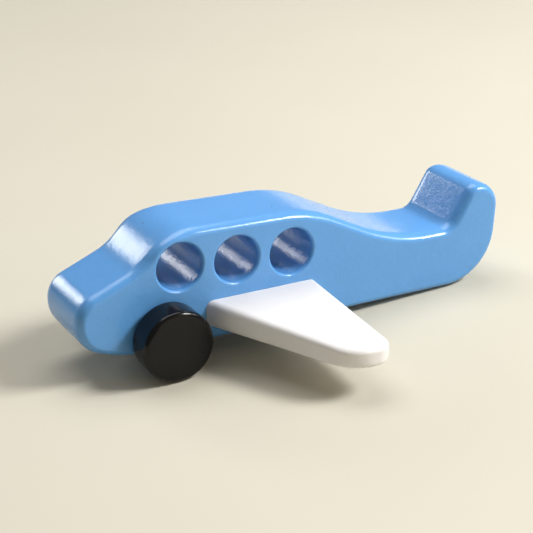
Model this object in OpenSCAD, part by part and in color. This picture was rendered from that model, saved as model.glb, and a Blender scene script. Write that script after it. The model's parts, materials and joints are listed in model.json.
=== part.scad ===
// Toy aeroplane made of painted wood: one plank cut to the side view of a small aircraft, with three
// round windows drilled through it, a half wing glued to each side, and two wheels on a turning axle.
// It stands on its wheels and its tail. Millimetres: nose towards +X, left wing towards +Y, +Z up.
// The origin is on the ground, under the middle of the length and the middle of the width.

/* [Fuselage] */
// Thickness of the plank, from side to side
plank_t = 27; // [24:0.5:32]
// How far the rounding of the plank's edges reaches down each side
plank_edge = 2.4; // [1.5:0.1:3]
// How far that rounding reaches across the roof and the belly
plank_crown = 3.8; // [2:0.1:5]
// From the middle window forward to the nose
nose_x = 51; // [50.5:0.1:52.7]
// From the middle window back to the tail
tail_x = 97.6; // [97.5:0.1:102]
// Height of the roof over the belly, at the windshield
roof_z = 37.1; // [36.6:0.1:38.3]
// Height of the tail boom over the belly
boom_z = 20.5; // [19.7:0.1:22.5]
// Height of the fin over the belly
fin_z = 33.7; // [33:0.1:34.5]
// Rounding under the tail, which is the rear point of contact
tail_r = 18.5; // [15:0.5:19.5]

/* [Windows] */
// Radius of the holes through the plank
window_r = 7.3; // [5:0.1:7.5]
// Radius of the rounding around each hole
window_edge = 0.9; // [0.5:0.1:1.4]
// Distance between one window and the next
window_pitch = 18.8; // [18:0.1:20]
// Height of the middle window over the belly
window_z = 24.9; // [24:0.1:25.5]

/* [Wings] */
// Half of the wing span
wing_span = 62.4; // [51:0.2:70]
// Thickness of a wing at the fuselage
wing_t = 8.4; // [7:0.1:9]
// Thickness of a wing at its tip
wing_tip_t = 6.2; // [5.5:0.1:7]
// Radius of the rounding along a wing's edges
wing_edge = 2.2; // [1:0.1:2.6]
// Height of a wing's upper face over the belly
wing_top = 13.5; // [13:0.1:14.5]
// From the middle window forward to the leading edge at the fuselage
wing_front = 10.4; // [7:0.1:11]
// From the middle window back to the trailing edge at the fuselage
wing_back = 27.3; // [25:0.1:30]
// Sweep of the leading edge, in degrees
wing_sweep = 23; // [15:0.5:24]

/* [Wheels] */
// Radius of a wheel
wheel_r = 11.1; // [10.5:0.1:12]
// Thickness of a wheel
wheel_t = 10.1; // [8:0.1:12]
// Radius of the rounding around a wheel
wheel_edge = 1.6; // [0.8:0.1:2.2]
// From the middle window forward to the axle
axle_x = 24.1; // [22:0.1:27]
// Height of the axle over the belly
axle_z = 5.7; // [5.5:0.1:7]
// Radius of the axle
axle_r = 3; // [2.5:0.1:3.2]
// Space between a wheel and the fuselage
wheel_gap = 0.6; // [0.4:0.1:1]

/* [Hidden] */

$fn = 64;
over = 1;                   // how far a cut runs past the face that it opens
turn_step = 6;              // degrees of turn from one point of an outline's arc to the next
edge_steps = 5;             // points along the rounding of a board's edge
blue = "#6FB0E8";
white = "#F4F2EE";
black = "#17171A";
bare_wood = "#D9B98A";

// Fuselage outline: the belly is up = 0, and the middle window is along = 0
tail_lean = 1.5;            // how far the tail leans back, from the belly up to the fin
chin_x = 36;                // where the belly starts to rise
chin_rise = 5.5;            // height of the chin at the nose
hood_z = 18.9;              // height of the hood at the nose
windshield_x = 31.5;        // foot of the windshield
windshield_z = 27.2;
roof_front_x = 22.1;        // head of the windshield
roof_rear_x = 25.9;         // back of the roof, behind the middle window
roof_fall = 1.1;            // how much lower the roof is at its back
boom_x = 57.9;              // where the roof meets the boom
fin_foot_x = 78.3;          // where the boom meets the fin
fin_front_x = 86.3;         // front of the fin's head
belly_outline = [           // [along, up, corner radius], tail to nose
    [tail_lean - tail_x, 0, tail_r],
    [chin_x, 0, 40],
    [nose_x, chin_rise, 10.4]
];
top_outline = [             // [along, up, corner radius], nose to tail
    [nose_x, hood_z, 8.6],
    [windshield_x, windshield_z, 18],
    [roof_front_x, roof_z, 21.5],
    [-roof_rear_x, roof_z - roof_fall, 43],
    [-boom_x, boom_z, 57],
    [-fin_foot_x, boom_z, 5],
    [-fin_front_x, fin_z, 4.6],
    [-tail_x, fin_z, 8]
];
side_outline = concat(belly_outline, top_outline);
side_hub = [-75, 5];        // low in the tail, where both the fin and the nose are in sight
window_slope = 3.2;         // the row of windows rises towards the nose, in degrees

// Wing outline: [along, out, corner radius], with the root drawn inside the fuselage and cut off
side_y = plank_t / 2;
root_y = side_y - 2 * wing_edge;
root_r = wing_edge + 0.4;
back_taper = 2.9;           // how far the trailing edge comes forward, from root to tip
thinning = (1 - wing_tip_t / wing_t) / (wing_span - side_y);    // share of thickness lost per mm
function front_at(y) = wing_front - (y - side_y) * tan(wing_sweep);
function back_at(y) = -wing_back + (y - side_y) / (wing_span - side_y) * back_taper;
tip_chord = front_at(wing_span) - back_at(wing_span);
tip_front_r = 0.53 * tip_chord / tan((90 - wing_sweep) / 2);
tip_back_r = 0.46 * tip_chord / tan((90 + atan(back_taper / (wing_span - side_y))) / 2);
wing_outline = [
    [front_at(root_y), root_y, root_r],
    [front_at(wing_span), wing_span, tip_front_r],
    [back_at(wing_span), wing_span, tip_back_r],
    [back_at(root_y), root_y, root_r]
];
wing_hub = [-15, side_y + 10];

// Joinery
running_gap = 0.08;         // radial clearance of the axle in the fuselage
glue_gap = 0.05;            // radial clearance of a glued dowel or axle end
dowel_r = 2;
dowel_len = 20;
dowel_z = wing_top - wing_t / 2;
dowel_front_x = 0;
dowel_rear_x = -17;
hub_depth = 7;              // how deep the axle goes into each wheel
axle_len = plank_t + 2 * (wheel_gap + hub_depth);

// Standing pose: the lines that touch the ground are under the wheels and under the tail
tail_turn = atan(fin_z / tail_lean);            // how far the outline turns round the tail's foot
tail_foot = tail_lean - tail_x + tail_r * tan(tail_turn / 2);   // middle of the rounding there
ground_run = [axle_x - tail_foot, tail_r - axle_z];
ground_dist = norm(ground_run);
tilt = atan2(ground_run[1], ground_run[0]) - asin((tail_r - wheel_r) / ground_dist);
lift = wheel_r - axle_x * sin(tilt) - axle_z * cos(tilt);
standing_x = [for (p = rim(side_outline, 0)) p[0] * cos(tilt) - p[1] * sin(tilt)];
shift = -(min(standing_x) + max(standing_x)) / 2;

// ---- Outlines with round corners ----

function unit(v) = v / norm(v);
function right_of(v) = [v[1], -v[0]];
function along_side(c, i, j) = unit([c[j][0] - c[i][0], c[j][1] - c[i][1]]);
function turn_of(a, b) = atan2(a[0] * b[1] - a[1] * b[0], a * b);
function turned(v, a) = [v[0] * cos(a) - v[1] * sin(a), v[0] * sin(a) + v[1] * cos(a)];

// The arc at one corner, moved inwards by inset. b is the corner, a the one before it and c the next.
function arc(corners, a, b, c, inset) =
    let (
        d1 = along_side(corners, a, b),
        d2 = along_side(corners, b, c),
        turn = turn_of(d1, d2),
        r = corners[b][2],
        bend = sign(turn),
        out = right_of(d1),
        start = [corners[b][0], corners[b][1]] - d1 * r * tan(abs(turn) / 2),
        mid = start - out * r * bend,
        n = ceil(abs(turn) / turn_step)
    )
    [for (i = [0 : n]) mid + turned(out, turn * i / n) * (r * bend - inset)];

// The whole outline, anticlockwise, moved inwards by inset
function rim(corners, inset) =
    let (n = len(corners))
    [for (b = [0 : n - 1]) each arc(corners, (b + n - 1) % n, b, (b + 1) % n, inset)];

// How thick a board is at y, as a share of its thickness at side_y, if it loses thin per mm
function share(y, thin) = 1 - thin * (y - side_y);

// One level of a board's side, at step i of the rounding below (face -1) or above (face 1). The
// rounding is an ellipse: edge wide on the board's faces and crown deep on its side.
function level(corners, t, edge, crown, thin, i, face) =
    let (
        a = i * 90 / edge_steps,
        z = face * (t / 2 - crown) + crown * sin(a)
    )
    [for (p = rim(corners, edge * (1 - cos(a)))) [p[0], p[1], z * share(p[1], thin)]];

// A board of that outline, with z from -t / 2 to t / 2 and the edges of both faces rounded. Its flat
// faces are fans of triangles about hub, a point from which the whole outline is in sight.
module board(corners, t, edge, crown, hub, thin = 0) {
    levels = concat(
        [for (i = [-edge_steps : 0]) level(corners, t, edge, crown, thin, i, -1)],
        [for (i = [0 : edge_steps]) level(corners, t, edge, crown, thin, i, 1)]
    );
    hubs = [for (face = [-1, 1]) [hub[0], hub[1], face * t / 2 * share(hub[1], thin)]];
    n = len(levels[0]);
    m = len(levels);
    top = (m - 1) * n;
    polyhedron(
        points = concat([for (ring = levels) each ring], hubs),
        faces = concat(
            [for (i = [0 : n - 1]) [m * n, i, (i + 1) % n]],
            [for (i = [0 : n - 1]) [m * n + 1, top + (i + 1) % n, top + i]],
            [for (k = [0 : m - 2], i = [0 : n - 1])
                [k * n + i, (k + 1) * n + i, (k + 1) * n + (i + 1) % n, k * n + (i + 1) % n]]
        )
    );
}

// ---- Places ----

// Sets a piece drawn against the belly down on the ground, nose up by the tilt
module standing() {
    translate([shift, 0, lift]) rotate([0, -tilt, 0]) children();
}

// Along the middle of the plank, at a point of its side view, with local z towards the left wing
module across(x, z) {
    translate([x, 0, z]) rotate([-90, 0, 0]) children();
}

// ---- Fuselage ----

// A round hole through the plank whose two rims are rounded over
module window_cut() {
    rotate_extrude() difference() {
        translate([0, -side_y - over]) square([window_r + window_edge, plank_t + 2 * over]);
        translate([window_r, window_edge - side_y])
            square([window_edge + over, plank_t - 2 * window_edge]);
        for (y = [window_edge - side_y, side_y - window_edge])
            translate([window_r + window_edge, y]) circle(r = window_edge);
    }
}

module fuselage() {
    color(blue) standing() difference() {
        rotate([90, 0, 0]) board(side_outline, plank_t, plank_edge, plank_crown, side_hub);
        for (i = [-1 : 1])
            across(i * window_pitch * cos(window_slope), window_z + i * window_pitch * sin(window_slope))
                window_cut();
        across(axle_x, axle_z)
            cylinder(r = axle_r + running_gap, h = plank_t + 2 * over, center = true);
        for (side = [-1, 1]) dowels(side, dowel_r + glue_gap, dowel_len + 2 * glue_gap);
    }
}

// ---- Wings ----

// The two dowels of one wing, centred on the face of the plank
module dowels(side, r, length, x_list = [dowel_front_x, dowel_rear_x]) {
    for (x = x_list)
        translate([x, side * side_y, dowel_z])
            rotate([90, 0, 0]) cylinder(r = r, h = length, center = true);
}

module left_wing_shape() {
    difference() {
        translate([0, 0, dowel_z])
            board(wing_outline, wing_t, wing_edge, wing_edge, wing_hub, thinning);
        translate([-wing_back - wing_t, 0, 0]) cube([2 * wing_back, side_y, wing_top + over]);
        dowels(1, dowel_r + glue_gap, dowel_len + 2 * glue_gap);
    }
}

module wing_left() {
    color(white) standing() left_wing_shape();
}

module wing_right() {
    color(white) standing() mirror([0, 1, 0]) left_wing_shape();
}

module wing_dowel(side, x) {
    color(bare_wood) standing() dowels(side, dowel_r, dowel_len, [x]);
}

// ---- Wheels ----

module axle() {
    color(bare_wood) standing() across(axle_x, axle_z) cylinder(r = axle_r, h = axle_len, center = true);
}

// Half of a wheel's section: radius across, thickness up, both rims rounded
module wheel_section() {
    square([wheel_r - wheel_edge, wheel_t]);
    translate([0, wheel_edge]) square([wheel_r, wheel_t - 2 * wheel_edge]);
    for (y = [wheel_edge, wheel_t - wheel_edge])
        translate([wheel_r - wheel_edge, y]) circle(r = wheel_edge);
}

// A wheel on the +Y side, blind-bored from its inner face for the axle
module left_wheel_shape() {
    across(axle_x, axle_z) translate([0, 0, side_y + wheel_gap]) difference() {
        rotate_extrude() wheel_section();
        translate([0, 0, -over]) cylinder(r = axle_r + glue_gap, h = hub_depth + glue_gap + over);
    }
}

module wheel_left() {
    color(black) standing() left_wheel_shape();
}

module wheel_right() {
    color(black) standing() mirror([0, 1, 0]) left_wheel_shape();
}

fuselage();
wing_left();
wing_right();
wing_dowel(1, dowel_front_x);  // wing_dowel_left_front
wing_dowel(1, dowel_rear_x);  // wing_dowel_left_rear
wing_dowel(-1, dowel_front_x);  // wing_dowel_right_front
wing_dowel(-1, dowel_rear_x);  // wing_dowel_right_rear
axle();
wheel_left();
wheel_right();
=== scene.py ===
import json
import math

import bmesh
import bpy
import numpy as np
from mathutils import Matrix, Vector, noise
from mathutils.geometry import delaunay_2d_cdt


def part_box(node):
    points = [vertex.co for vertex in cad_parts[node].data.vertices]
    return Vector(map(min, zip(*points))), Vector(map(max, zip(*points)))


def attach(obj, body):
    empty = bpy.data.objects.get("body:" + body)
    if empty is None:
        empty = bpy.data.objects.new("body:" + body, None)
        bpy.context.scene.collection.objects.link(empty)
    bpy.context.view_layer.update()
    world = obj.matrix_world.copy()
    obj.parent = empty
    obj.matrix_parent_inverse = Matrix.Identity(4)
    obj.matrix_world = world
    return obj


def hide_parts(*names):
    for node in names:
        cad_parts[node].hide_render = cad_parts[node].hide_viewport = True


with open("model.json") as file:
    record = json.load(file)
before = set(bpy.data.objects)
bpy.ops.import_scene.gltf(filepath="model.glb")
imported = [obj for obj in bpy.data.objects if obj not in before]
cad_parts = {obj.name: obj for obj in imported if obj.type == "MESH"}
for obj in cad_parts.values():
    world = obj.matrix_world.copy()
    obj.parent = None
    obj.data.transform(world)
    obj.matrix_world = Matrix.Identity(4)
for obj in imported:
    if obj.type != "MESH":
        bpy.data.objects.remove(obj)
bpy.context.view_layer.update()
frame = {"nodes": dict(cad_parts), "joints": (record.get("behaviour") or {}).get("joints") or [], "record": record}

# The looks of a painted wooden toy aeroplane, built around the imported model. Metres, in the model's
# own frame: nose towards +X, left wing towards +Y, +Z up, standing on its wheels and its tail.

MM = 0.001

# ---------------------------------------------------------------- places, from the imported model

mounts = {m["name"]: m for m in frame["record"]["mounts"]}
belly_down = Vector(mounts["belly"]["axis"]).normalized()
UP = -belly_down                                    # square to the belly
ALONG = Vector((UP.z, 0, -UP.x))                    # along the belly, towards the nose
middle_window = Vector(mounts["window_middle"]["pos_m"])
window_height = (middle_window - Vector(mounts["belly"]["pos_m"])).dot(UP)
SIDE_ORIGIN = middle_window - UP * window_height    # on the belly, under the middle window

fuselage_low, fuselage_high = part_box("fuselage")
plank_t = fuselage_high.y - fuselage_low.y
side_y = plank_t / 2
window_r = mounts["window_middle"]["dims"]["r_mm"] * MM
window_edge = (plank_t - mounts["window_middle"]["dims"]["length_mm"] * MM) / 2
plank_edge = 2.4 * MM                               # how far the rounding reaches down each side
plank_crown = 3.8 * MM                              # and across the roof and the belly

wheel_low, wheel_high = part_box("wheel_left")
wheel_r = (wheel_high.z - wheel_low.z) / 2
wheel_edge = 1.6 * MM
hub_r = 3.05 * MM
hub_depth = 7.05 * MM
axle_at = Vector(frame["joints"][0]["pos_m"])

wing_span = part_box("wing_left")[1].y
wing_t = 8.4 * MM                                   # at the fuselage
wing_tip_t = 6.2 * MM
wing_edge = 2.2 * MM
wing_top = 13.5 * MM                                # over the belly
wing_mid = wing_top - wing_t / 2                    # height of the wing's mid plane over the belly
wing_thinning = (1 - wing_tip_t / wing_t) / (wing_span - side_y)

# Corners of the side view: along, up, corner radius, in millimetres from SIDE_ORIGIN
SIDE_CORNERS = [
    (-96.1, 0, 18.5),                               # under the tail
    (36, 0, 40),                                    # the belly turns up into the chin
    (51, 5.5, 10.4),                                # chin
    (51, 18.9, 8.6),                                # nose
    (31.5, 27.2, 18),                               # foot of the windshield
    (22.1, 37.1, 21.5),                             # front of the roof
    (-25.9, 36, 43),                                # back of the roof
    (-57.9, 20.5, 57),                              # the roof runs down into the boom
    (-78.3, 20.5, 5),                               # foot of the fin
    (-86.3, 33.7, 4.6),                             # front of the fin's head
    (-97.6, 33.7, 8),                               # back of the fin's head
]
# Corners of a half wing seen from above: along, out from the mid plane, corner radius
SWEEP = math.radians(23)
BACK_TAPER = 2.9                                    # how far the back edge runs forward to the tip
ROOT_LEAD, ROOT_TRAIL = 10.4, -27.3                 # ends of the chord at the fuselage's side
ROOT_HIDDEN = 4.4                                   # cut off again at the fuselage's side
ROOT_CORNER = 2.6
LEAD_SHARE, TRAIL_SHARE = 0.53, 0.46                # of the tip's chord, taken up by each corner
wing_reach = (wing_span - side_y) / MM
root_out = side_y / MM - ROOT_HIDDEN
tip_lead = ROOT_LEAD - wing_reach * math.tan(SWEEP)
tip_trail = ROOT_TRAIL + BACK_TAPER
tip_chord = tip_lead - tip_trail
back_angle = math.atan(BACK_TAPER / wing_reach)
WING_CORNERS = [
    (ROOT_LEAD + ROOT_HIDDEN * math.tan(SWEEP), root_out, ROOT_CORNER),
    (tip_lead, wing_span / MM, LEAD_SHARE * tip_chord / math.tan((math.pi / 2 - SWEEP) / 2)),
    (tip_trail, wing_span / MM, TRAIL_SHARE * tip_chord / math.tan((math.pi / 2 + back_angle) / 2)),
    (ROOT_TRAIL - ROOT_HIDDEN * math.tan(back_angle), root_out, ROOT_CORNER),
]


def at_side(u, y, v):
    """A point u along, y across and v up from the belly under the middle window, in the row frame."""
    return SIDE_ORIGIN + ALONG * u + Vector((0, y, 0)) + UP * v


# ---------------------------------------------------------------- outlines

ARC_STEP = math.radians(4)
RUN_STEP = 1.6 * MM
SUPPORT = 0.10 * MM                                 # a ring just inside a flat face keeps it flat


def turned(v, a):
    return np.array([v[0] * math.cos(a) - v[1] * math.sin(a), v[0] * math.sin(a) + v[1] * math.cos(a)])


def round_outline(corners):
    """Points and outward normals round an outline whose corners are arcs, anticlockwise, in metres."""
    at = [np.array(c[:2], float) * MM for c in corners]
    count = len(at)
    arcs = []
    for i in range(count):
        before, after = at[i] - at[i - 1], at[(i + 1) % count] - at[i]
        before, after = before / np.linalg.norm(before), after / np.linalg.norm(after)
        turn = math.atan2(before[0] * after[1] - before[1] * after[0], before @ after)
        radius = corners[i][2] * MM
        normal = np.array([before[1], -before[0]])
        bend = math.copysign(radius, turn)
        centre = at[i] - before * radius * math.tan(abs(turn) / 2) - normal * bend
        steps = max(3, math.ceil(abs(turn) / ARC_STEP))
        normals = [turned(normal, turn * k / steps) for k in range(steps + 1)]
        arcs.append([(centre + n * bend, n) for n in normals])
    points = []
    for i, arc in enumerate(arcs):
        points += arc
        start, end = arc[-1][0], arcs[(i + 1) % count][0][0]
        steps = max(1, round(float(np.linalg.norm(end - start)) / RUN_STEP))
        points += [(start + (end - start) * k / steps, arc[-1][1]) for k in range(1, steps)]
    return np.array([p for p, n in points]), np.array([n for p, n in points])


def edge_levels(thickness, edge, crown, round_steps, wall_steps):
    """Inset, as a share of the edge, and height of each ring of a board's side, from the upper flat
    face, round both edges, to the lower one. An edge is an ellipse, edge wide and crown deep."""
    half = thickness / 2
    angles = [math.pi / 2 * (1 - k / round_steps) for k in range(round_steps + 1)]
    upper = [(1 + SUPPORT / edge, half)]
    upper += [(1 - math.cos(a), half - crown * (1 - math.sin(a))) for a in angles]
    wall = [(0, (half - crown) * (1 - 2 * k / wall_steps)) for k in range(1, wall_steps)]
    return upper + wall + [(inset, -height) for inset, height in reversed(upper)]


def worn(point, strength, size, seed):
    """A smooth wobble round 1 that stands for hand sanding, the same on every run."""
    p = Vector((point[0] / size + seed, point[1] / size - seed, seed * 1.7))
    return 1 + strength * noise.noise(p)


# ---------------------------------------------------------------- boards: plank and wings

HOLE_POINTS = 96
RIM_STEPS = 10
BORE_STEPS = 14
RIM_DEPTH = 1.5                                     # depth of a hole's rounding over its width
RIM_GAP = 0.06 * MM                                 # least flat between a hole's rim and the edge
WORN_SIZE = 14 * MM
EDGE_STEPS = 12
WALL_STEP = 1.9 * MM
GRID = 2.2 * MM
ROW_STEP = 0.87                                     # of the grid, between two rows of loose points
OUTLINE_CLEAR, HOLE_CLEAR = 0.55, 0.45              # of the grid, round a loose point
SAME_POINT = 1e-9


def inside_loop(loop, u, v):
    """Whether a point lies inside a closed loop of points."""
    ends = np.roll(loop, -1, 0)
    crossing = (loop[:, 1] > v) != (ends[:, 1] > v)
    run = (ends[:, 1] - loop[:, 1])[crossing]
    cut = loop[crossing, 0] + (v - loop[crossing, 1]) * (ends - loop)[crossing, 0] / run
    return int((cut > u).sum()) % 2 == 1


def fill_flat(loops, holes):
    """Triangles between an outer loop and round holes, with loose points in between, in the plane."""
    points = [Vector(p) for loop in loops for p in loop]
    edges, base = [], 0
    for loop in loops:
        count = len(loop)
        edges += [(base + i, base + (i + 1) % count) for i in range(count)]
        base += count
    outer = np.array(loops[0])
    low, high = outer.min(0), outer.max(0)
    row, v = 0, low[1] + GRID
    while v < high[1]:
        u = low[0] + GRID * (0.5 if row % 2 else 1)
        while u < high[0]:
            p = np.array([u, v])
            inside = inside_loop(outer, u, v)
            clear = np.linalg.norm(outer - p, axis=1).min() > GRID * OUTLINE_CLEAR
            clear = clear and all(np.linalg.norm(p - c) > r + GRID * HOLE_CLEAR for c, r in holes)
            if inside and clear:
                points.append(Vector(p))
            u += GRID
        v += GRID * ROW_STEP
        row += 1
    verts, _, faces, origin, _, _ = delaunay_2d_cdt(points, edges, [], 0, SAME_POINT)
    kept = []
    for face in faces:
        middle = sum((np.array(verts[i]) for i in face), np.zeros(2)) / len(face)
        inside = inside_loop(outer, middle[0], middle[1])
        if inside and all(np.linalg.norm(middle - c) > r for c, r in holes):
            kept.append(tuple(face))
    return [tuple(v) for v in verts], kept, [o[0] if o else -1 for o in origin]


def ring_faces(first, second):
    count = len(first)
    return [(first[i], first[(i + 1) % count], second[(i + 1) % count], second[i]) for i in range(count)]


def board(corners, thickness, edge, crown, to_row, holes=(), hole_edge=0.0, wear=0.03, seed=3.1):
    """A board of that outline with rounded edges and round holes through it. to_row(u, t, v) gives a
    point's place from its outline coordinates u, v and its height t over the board's mid plane."""
    points, normals = round_outline(corners)
    depth = np.array([worn(p, wear, WORN_SIZE, seed) for p in points])
    width = depth.copy()
    # Where a hole's rim comes too near, the rounding is narrower than the part's, but as deep
    for i, (p, n) in enumerate(zip(points, normals)):
        for centre, radius in holes:
            rim = radius + hole_edge + SUPPORT + RIM_GAP
            while np.linalg.norm(p - n * (edge + SUPPORT) * width[i] - centre) < rim:
                width[i] -= 0.01
    wall_steps = max(3, round((thickness - 2 * crown) / WALL_STEP))
    levels = edge_levels(thickness, edge, crown, EDGE_STEPS, wall_steps)
    mesh = bmesh.new()
    half = thickness / 2

    def add_ring(flat, heights):
        return [mesh.verts.new(to_row(p[0], h, p[1])) for p, h in zip(flat, heights)]

    rings, flats = [], []
    for inset, height in levels:
        flat = points - normals * (edge * inset * width)[:, None]
        drop = (half - abs(height)) * (depth if inset > 0 else np.ones(len(points)))
        flats.append(flat)
        rings.append(add_ring(flat, np.copysign(half - drop, height)))
    for a, b in zip(rings, rings[1:]):
        for f in ring_faces(b, a):
            mesh.faces.new(f)
    circle = [2 * math.pi * k / HOLE_POINTS for k in range(HOLE_POINTS)]
    around = np.array([(math.cos(a), math.sin(a)) for a in circle])
    hole_rings = []
    hole_deep = RIM_DEPTH * hole_edge
    for centre, radius in holes:
        profile = [(radius + hole_edge + SUPPORT, half)]
        for k in range(RIM_STEPS + 1):
            a = math.pi / 2 * k / RIM_STEPS
            profile.append((radius + hole_edge * (1 - math.sin(a)), half - hole_deep * (1 - math.cos(a))))
        bore = half - hole_deep
        profile += [(radius, bore * (1 - 2 * k / BORE_STEPS)) for k in range(1, BORE_STEPS)]
        profile += [(r, -t) for r, t in reversed(profile[:RIM_STEPS + 2])]
        made = [add_ring(centre + around * r, [t] * HOLE_POINTS) for r, t in profile]
        for k, (a, b) in enumerate(zip(made, made[1:])):
            for f in ring_faces(a, b):
                face = mesh.faces.new(f)
                # Faces down a hole's bore take the second material, whose darker blue is painted shade
                face.material_index = 1 if RIM_STEPS - 1 <= k < len(made) - RIM_STEPS else 0
        hole_rings.append((made, centre + around * profile[0][0]))
    loops = [[tuple(p) for p in flats[0]]] + [[tuple(p) for p in h[1]] for h in hole_rings]
    keep_out = [(np.array(c), r + hole_edge + SUPPORT) for c, r in holes]
    flat_points, triangles, origin = fill_flat(loops, keep_out)
    for side, height in ((0, half), (-1, -half)):
        known = list(rings[side]) + [v for h in hole_rings for v in h[0][side]]
        here = []
        for p, o in zip(flat_points, origin):
            old = 0 <= o < len(known)
            here.append(known[o] if old else mesh.verts.new(to_row(p[0], height, p[1])))
        for t in triangles:
            mesh.faces.new([here[i] for i in t])
    bmesh.ops.recalc_face_normals(mesh, faces=mesh.faces)
    return mesh


def settle(mesh, depth, size, seed):
    """Presses the surface in by a smooth, shallow unevenness, as hand-finished wood has."""
    mesh.normal_update()
    moves = []
    for v in mesh.verts:
        wave = noise.noise(v.co / size + Vector((seed, seed * 2, seed * 3)))
        moves.append(v.normal * (-depth * (0.5 + 0.5 * wave)))
    for v, move in zip(mesh.verts, moves):
        v.co += move


def as_object(name, mesh, materials):
    data = bpy.data.meshes.new(name)
    mesh.to_mesh(data)
    mesh.free()
    for material in materials:
        data.materials.append(material)
    data.polygons.foreach_set("use_smooth", [True] * len(data.polygons))
    data.update()
    piece = bpy.data.objects.new(name, data)
    bpy.context.scene.collection.objects.link(piece)
    return piece


# ---------------------------------------------------------------- materials

def new_material(name):
    material = bpy.data.materials.new(name)
    material.use_nodes = True
    nodes, links = material.node_tree.nodes, material.node_tree.links
    nodes.clear()
    output = nodes.new("ShaderNodeOutputMaterial")
    shader = nodes.new("ShaderNodeBsdfPrincipled")
    links.new(shader.outputs["BSDF"], output.inputs["Surface"])
    return material, nodes, links, shader


def stretched_noise(nodes, links, stretch, detail=3.0, roughness=0.55):
    """Noise whose cells are 1 / stretch metres along X, Y and Z."""
    place = nodes.new("ShaderNodeTexCoord")
    mapping = nodes.new("ShaderNodeMapping")
    mapping.inputs["Scale"].default_value = stretch
    texture = nodes.new("ShaderNodeTexNoise")
    texture.inputs["Scale"].default_value = 1.0
    texture.inputs["Detail"].default_value = detail
    texture.inputs["Roughness"].default_value = roughness
    links.new(place.outputs["Object"], mapping.inputs["Vector"])
    links.new(mapping.outputs["Vector"], texture.inputs["Vector"])
    return texture.outputs["Fac"]


def ranged(nodes, links, value, low, high, start=0.3, end=0.7):
    """value, which mostly lies from start to end, spread from low to high."""
    spread = nodes.new("ShaderNodeMapRange")
    spread.inputs["From Min"].default_value = start
    spread.inputs["From Max"].default_value = end
    spread.inputs["To Min"].default_value = low
    spread.inputs["To Max"].default_value = high
    links.new(value, spread.inputs["Value"])
    return spread.outputs["Result"]


def mixed_color(nodes, links, factor, first, second):
    mix = nodes.new("ShaderNodeMix")
    mix.data_type = "RGBA"
    links.new(factor, mix.inputs["Factor"])
    for socket, value in ((mix.inputs["A"], first), (mix.inputs["B"], second)):
        if isinstance(value, tuple):
            socket.default_value = (*value, 1)
        else:
            links.new(value, socket)
    return mix.outputs["Result"]


def bumped(nodes, links, height, distance, under=None):
    bump = nodes.new("ShaderNodeBump")
    bump.inputs["Strength"].default_value = 1.0
    bump.inputs["Distance"].default_value = distance
    links.new(height, bump.inputs["Height"])
    if under is not None:
        links.new(under, bump.inputs["Normal"])
    return bump.outputs["Normal"]


def specks(nodes, links, cells, size):
    """1 inside rare small dots, 0 elsewhere: dust caught in the paint."""
    place = nodes.new("ShaderNodeTexCoord")
    dots = nodes.new("ShaderNodeTexVoronoi")
    dots.inputs["Scale"].default_value = cells
    links.new(place.outputs["Object"], dots.inputs["Vector"])
    return ranged(nodes, links, dots.outputs["Distance"], 1, 0, size * 0.6, size)


def paint(name, light, dark, gloss, grain_depth, peel_depth, dust=None, bore=False, ior=1.5):
    """Brushed paint over wood: colour drift, the wood's grain and an orange peel in the film."""
    material, nodes, links, shader = new_material(name)
    drift = stretched_noise(nodes, links, (60, 60, 60), 2)
    color = mixed_color(nodes, links, ranged(nodes, links, drift, 0, 1), dark, light)
    streaks = stretched_noise(nodes, links, (40, 900, 900), 3)
    color = mixed_color(nodes, links, ranged(nodes, links, streaks, 0, 0.16), color, dark)
    if dust is not None:
        color = mixed_color(nodes, links, specks(nodes, links, cells=90, size=0.027), color, dust)
    links.new(color, shader.inputs["Base Color"])
    cloud = stretched_noise(nodes, links, (300, 300, 300), 3)
    links.new(ranged(nodes, links, cloud, gloss * 0.8, gloss * 1.3), shader.inputs["Roughness"])
    grain = stretched_noise(nodes, links, (500, 300, 1500) if bore else (60, 1300, 1300), 4, 0.65)
    normal = bumped(nodes, links, grain, grain_depth)
    swell = stretched_noise(nodes, links, (500, 500, 500), 2, 0.5)
    normal = bumped(nodes, links, swell, peel_depth * 1.2, normal)
    peel = stretched_noise(nodes, links, (1500, 1500, 1500), 3, 0.6)
    normal = bumped(nodes, links, peel, peel_depth, normal)
    links.new(normal, shader.inputs["Normal"])
    shader.inputs["IOR"].default_value = ior
    return material


WOOD_DARK = (0.42, 0.26, 0.13)
WOOD_LIGHT = (0.70, 0.52, 0.32)


def bare_wood(name):
    """Birch dowel: fine pale grain along Y."""
    material, nodes, links, shader = new_material(name)
    grain = stretched_noise(nodes, links, (1800, 90, 1800), 4, 0.6)
    color = mixed_color(nodes, links, ranged(nodes, links, grain, 0, 1), WOOD_DARK, WOOD_LIGHT)
    links.new(color, shader.inputs["Base Color"])
    links.new(ranged(nodes, links, grain, 0.5, 0.72), shader.inputs["Roughness"])
    links.new(bumped(nodes, links, grain, 0.05 * MM), shader.inputs["Normal"])
    return material


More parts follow.
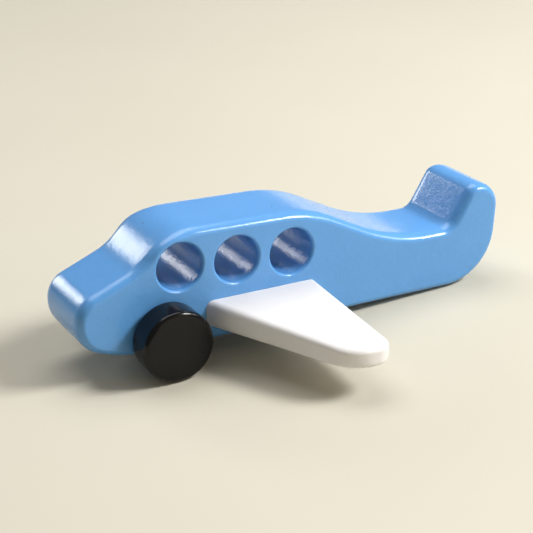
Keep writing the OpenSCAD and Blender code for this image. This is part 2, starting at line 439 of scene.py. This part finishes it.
BLUE_LIGHT = (0.112, 0.330, 0.700)
BLUE_DARK = (0.104, 0.310, 0.665)
# The bore colours are the blue set darker: painted shade for the dim inside of the window holes
BORE_SHADED_LIGHT = (0.092, 0.283, 0.62)
BORE_SHADED_DARK = (0.082, 0.255, 0.56)
WHITE_LIGHT = (0.78, 0.765, 0.77)
WHITE_DARK = (0.75, 0.735, 0.73)
BLACK_LIGHT = (0.004, 0.004, 0.005)
BLACK_DARK = (0.006, 0.006, 0.006)
DUST = (0.10, 0.06, 0.05)
blue = paint("blue_paint", BLUE_LIGHT, BLUE_DARK, gloss=0.18, grain_depth=0.014 * MM,
             peel_depth=0.044 * MM, dust=DUST)
blue_bore_shaded = paint("blue_paint_bore_shaded", BORE_SHADED_LIGHT, BORE_SHADED_DARK, gloss=0.17, grain_depth=0.03 * MM,
                  peel_depth=0.09 * MM, bore=True)
white = paint("white_paint", WHITE_LIGHT, WHITE_DARK, gloss=0.38, grain_depth=0.03 * MM,
              peel_depth=0.02 * MM)
black = paint("black_paint", BLACK_LIGHT, BLACK_DARK, gloss=0.14, grain_depth=0.01 * MM,
              peel_depth=0.03 * MM, ior=1.32)
wood = bare_wood("bare_wood")

# ---------------------------------------------------------------- the pieces

window_names = ("window_front", "window_middle", "window_rear")
window_offsets = [Vector(mounts[n]["pos_m"]) - SIDE_ORIGIN for n in window_names]
window_holes = [(np.array([o.dot(ALONG), o.dot(UP)]), window_r) for o in window_offsets]
plank = board(SIDE_CORNERS, plank_t, plank_edge, plank_crown, at_side, window_holes, window_edge)
settle(plank, depth=0.05 * MM, size=13 * MM, seed=1.3)
fuselage = as_object("fuselage_painted", plank, [blue, blue_bore_shaded])
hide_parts("fuselage")
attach(fuselage, "airframe")


def half_wing(name, hand, node):
    """A half wing; hand is 1 for the left one and -1 for the right one."""
    def to_row(u, t, y):
        share = 1 - wing_thinning * (y - side_y)
        return at_side(u, hand * y, wing_mid + t * share)

    mesh = board(WING_CORNERS, wing_t, wing_edge, wing_edge, to_row, wear=0.06, seed=5.7 + hand)
    settle(mesh, depth=0.04 * MM, size=11 * MM, seed=2.6 + hand)
    everything = list(mesh.verts) + list(mesh.edges) + list(mesh.faces)
    bmesh.ops.bisect_plane(mesh, geom=everything, plane_co=(0, hand * side_y, 0),
                           plane_no=(0, hand, 0), clear_inner=True)
    cut = [e for e in mesh.edges if e.is_boundary]
    bmesh.ops.contextual_create(mesh, geom=cut)
    bmesh.ops.recalc_face_normals(mesh, faces=mesh.faces)
    for e in mesh.edges:
        if any(abs(f.normal.y) > 0.999 for f in e.link_faces):
            e.smooth = False
    wing = as_object(name, mesh, [white])
    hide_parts(node)
    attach(wing, "airframe")


half_wing("wing_left_painted", 1, "wing_left")
half_wing("wing_right_painted", -1, "wing_right")

WHEEL_POINTS = 128
WHEEL_ROUND_STEPS = 10
WHEEL_FLAT_STEPS = 5                                # across the inner face and across the tread
WHEEL_FACE_STEPS = 7                                # across the outer face
hub_chamfer = 0.3 * MM


def wheel(name, hand, node):
    """A turned wheel, blind-bored from its inner face; hand is 1 for the left one, -1 for the right."""
    inner = wheel_low.y
    outer = wheel_high.y
    profile = [(hub_r, inner + hub_depth), (hub_r, inner + hub_chamfer), (hub_r + hub_chamfer, inner)]
    flat = wheel_r - wheel_edge
    across = range(1, WHEEL_FLAT_STEPS)
    profile += [(hub_r + (flat - hub_r) * k / WHEEL_FLAT_STEPS, inner) for k in across]
    rounding = [math.pi / 2 * k / WHEEL_ROUND_STEPS for k in range(WHEEL_ROUND_STEPS + 1)]
    profile += [(flat + wheel_edge * math.sin(a), inner + wheel_edge * (1 - math.cos(a))) for a in rounding]
    tread = outer - inner - 2 * wheel_edge
    profile += [(wheel_r, inner + wheel_edge + tread * k / WHEEL_FLAT_STEPS) for k in across]
    profile += [(flat + wheel_edge * math.cos(a), outer - wheel_edge * (1 - math.sin(a))) for a in rounding]
    profile += [(flat * (1 - k / WHEEL_FACE_STEPS), outer) for k in range(1, WHEEL_FACE_STEPS)]
    mesh = bmesh.new()
    rings = []
    turns = [2 * math.pi * k / WHEEL_POINTS for k in range(WHEEL_POINTS)]
    for r, y in profile:
        rings.append([mesh.verts.new((axle_at.x + r * math.cos(a), hand * y, axle_at.z + r * math.sin(a)))
                      for a in turns])
    for a, b in zip(rings, rings[1:]):
        for f in ring_faces(a, b):
            mesh.faces.new(f)
    for ring, y in ((rings[0], inner + hub_depth), (rings[-1], outer)):
        middle = mesh.verts.new((axle_at.x, hand * y, axle_at.z))
        for i in range(WHEEL_POINTS):
            mesh.faces.new((ring[i], ring[(i + 1) % WHEEL_POINTS], middle))
    bmesh.ops.recalc_face_normals(mesh, faces=mesh.faces)
    settle(mesh, depth=0.03 * MM, size=6 * MM, seed=4.4 + hand)
    piece = as_object(name, mesh, [black])
    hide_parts(node)
    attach(piece, "wheelset")


wheel("wheel_left_painted", 1, "wheel_left")
wheel("wheel_right_painted", -1, "wheel_right")

for node, piece in frame["nodes"].items():
    if node == "axle" or node.startswith("wing_dowel"):
        piece.data.materials.clear()
        piece.data.materials.append(wood)

# ---------------------------------------------------------------- floor, lights and camera

FLOOR_HALF = 4.0
FLOOR_DARK = (0.55, 0.52, 0.43)
FLOOR_LIGHT = (0.57, 0.54, 0.45)
WORLD_COLOR = (1.0, 0.96, 0.88, 1)
WORLD_STRENGTH = 0.19
LIGHTS_FACE = Vector((0, 0, 0.02))                  # the point that the softboxes face
CAMERA_LENS = 96.07                                 # for a sensor 36 wide
CAMERA_PLACE = (28.26, 23.85)                       # azimuth, from +Y towards +X, and elevation
CAMERA_ROLL = 2.33
CAMERA_TARGET = Vector((5.35, -0.92, 17.11)) * MM
CAMERA_DISTANCE = 0.4453


def direction(place):
    """The unit vector at that azimuth, from +Y towards +X, and elevation, in degrees."""
    azimuth, elevation = (math.radians(a) for a in place)
    return Vector((math.cos(elevation) * math.sin(azimuth), math.cos(elevation) * math.cos(azimuth),
                   math.sin(elevation)))


def studio_floor():
    material, nodes, links, shader = new_material("floor_paper")
    cloud = stretched_noise(nodes, links, (6, 6, 6), 2)
    color = mixed_color(nodes, links, ranged(nodes, links, cloud, 0, 1), FLOOR_DARK, FLOOR_LIGHT)
    links.new(color, shader.inputs["Base Color"])
    tooth = stretched_noise(nodes, links, (2500, 2500, 2500), 2)
    links.new(bumped(nodes, links, tooth, 0.02 * MM), shader.inputs["Normal"])
    shader.inputs["Roughness"].default_value = 0.75
    shader.inputs["Specular IOR Level"].default_value = 0.3
    mesh = bmesh.new()
    signs = ((-1, -1), (1, -1), (1, 1), (-1, 1))
    corners = [mesh.verts.new((x * FLOOR_HALF, y * FLOOR_HALF, 0)) for x, y in signs]
    mesh.faces.new(corners)
    floor = as_object("studio_floor", mesh, [material])


def softbox(name, place, distance, width, height, radiance, color=(1, 1, 1)):
    """A rectangular light in that direction and at that distance, facing the toy."""
    data = bpy.data.lights.new(name, "AREA")
    data.shape = "RECTANGLE"
    data.size = width
    data.size_y = height
    data.energy = radiance * math.pi * width * height
    data.color = color
    light = bpy.data.objects.new(name, data)
    bpy.context.scene.collection.objects.link(light)
    towards = direction(place)
    light.location = LIGHTS_FACE + towards * distance
    light.rotation_euler = towards.to_track_quat("Z", "Y").to_euler()
    light.visible_camera = False


def studio_world():
    world = bpy.data.worlds.new("studio")
    world.use_nodes = True
    background = world.node_tree.nodes["Background"]
    background.inputs["Color"].default_value = WORLD_COLOR
    background.inputs["Strength"].default_value = WORLD_STRENGTH
    bpy.context.scene.world = world


def studio_camera():
    """The camera looks down at the toy's left side from ahead of it, and is turned a little."""
    data = bpy.data.cameras.new("camera")
    data.sensor_width = 36
    data.lens = CAMERA_LENS
    data.clip_start = 0.01
    camera = bpy.data.objects.new("camera", data)
    bpy.context.scene.collection.objects.link(camera)
    back = direction(CAMERA_PLACE)
    turn = back.to_track_quat("Z", "Y").to_matrix() @ Matrix.Rotation(-math.radians(CAMERA_ROLL), 3, "Z")
    camera.matrix_world = Matrix.Translation(CAMERA_TARGET + back * CAMERA_DISTANCE) @ turn.to_4x4()
    bpy.context.scene.camera = camera


studio_floor()
studio_world()
# azimuth and elevation, distance, width, height, radiance, colour
softbox("key_softbox", (-57, 42), 1.0, 0.31, 0.28, 42.5)
softbox("side_softbox", (-76, 28), 1.0, 0.36, 0.20, 6.5)
softbox("far_softbox", (160, 18), 2.4, 0.60, 0.82, 11.0)
softbox("top_softbox", (190, 67), 1.3, 1.1, 0.8, 3.3)
softbox("back_softbox", (-144, 2), 2.0, 1.2, 0.12, 2.4, (1.0, 0.86, 0.74))
softbox("fill_softbox", (-12, 17), 1.6, 1.5, 0.7, 0.95, (1.0, 0.76, 0.38))
studio_camera()
bpy.context.scene.view_settings.view_transform = "Standard"
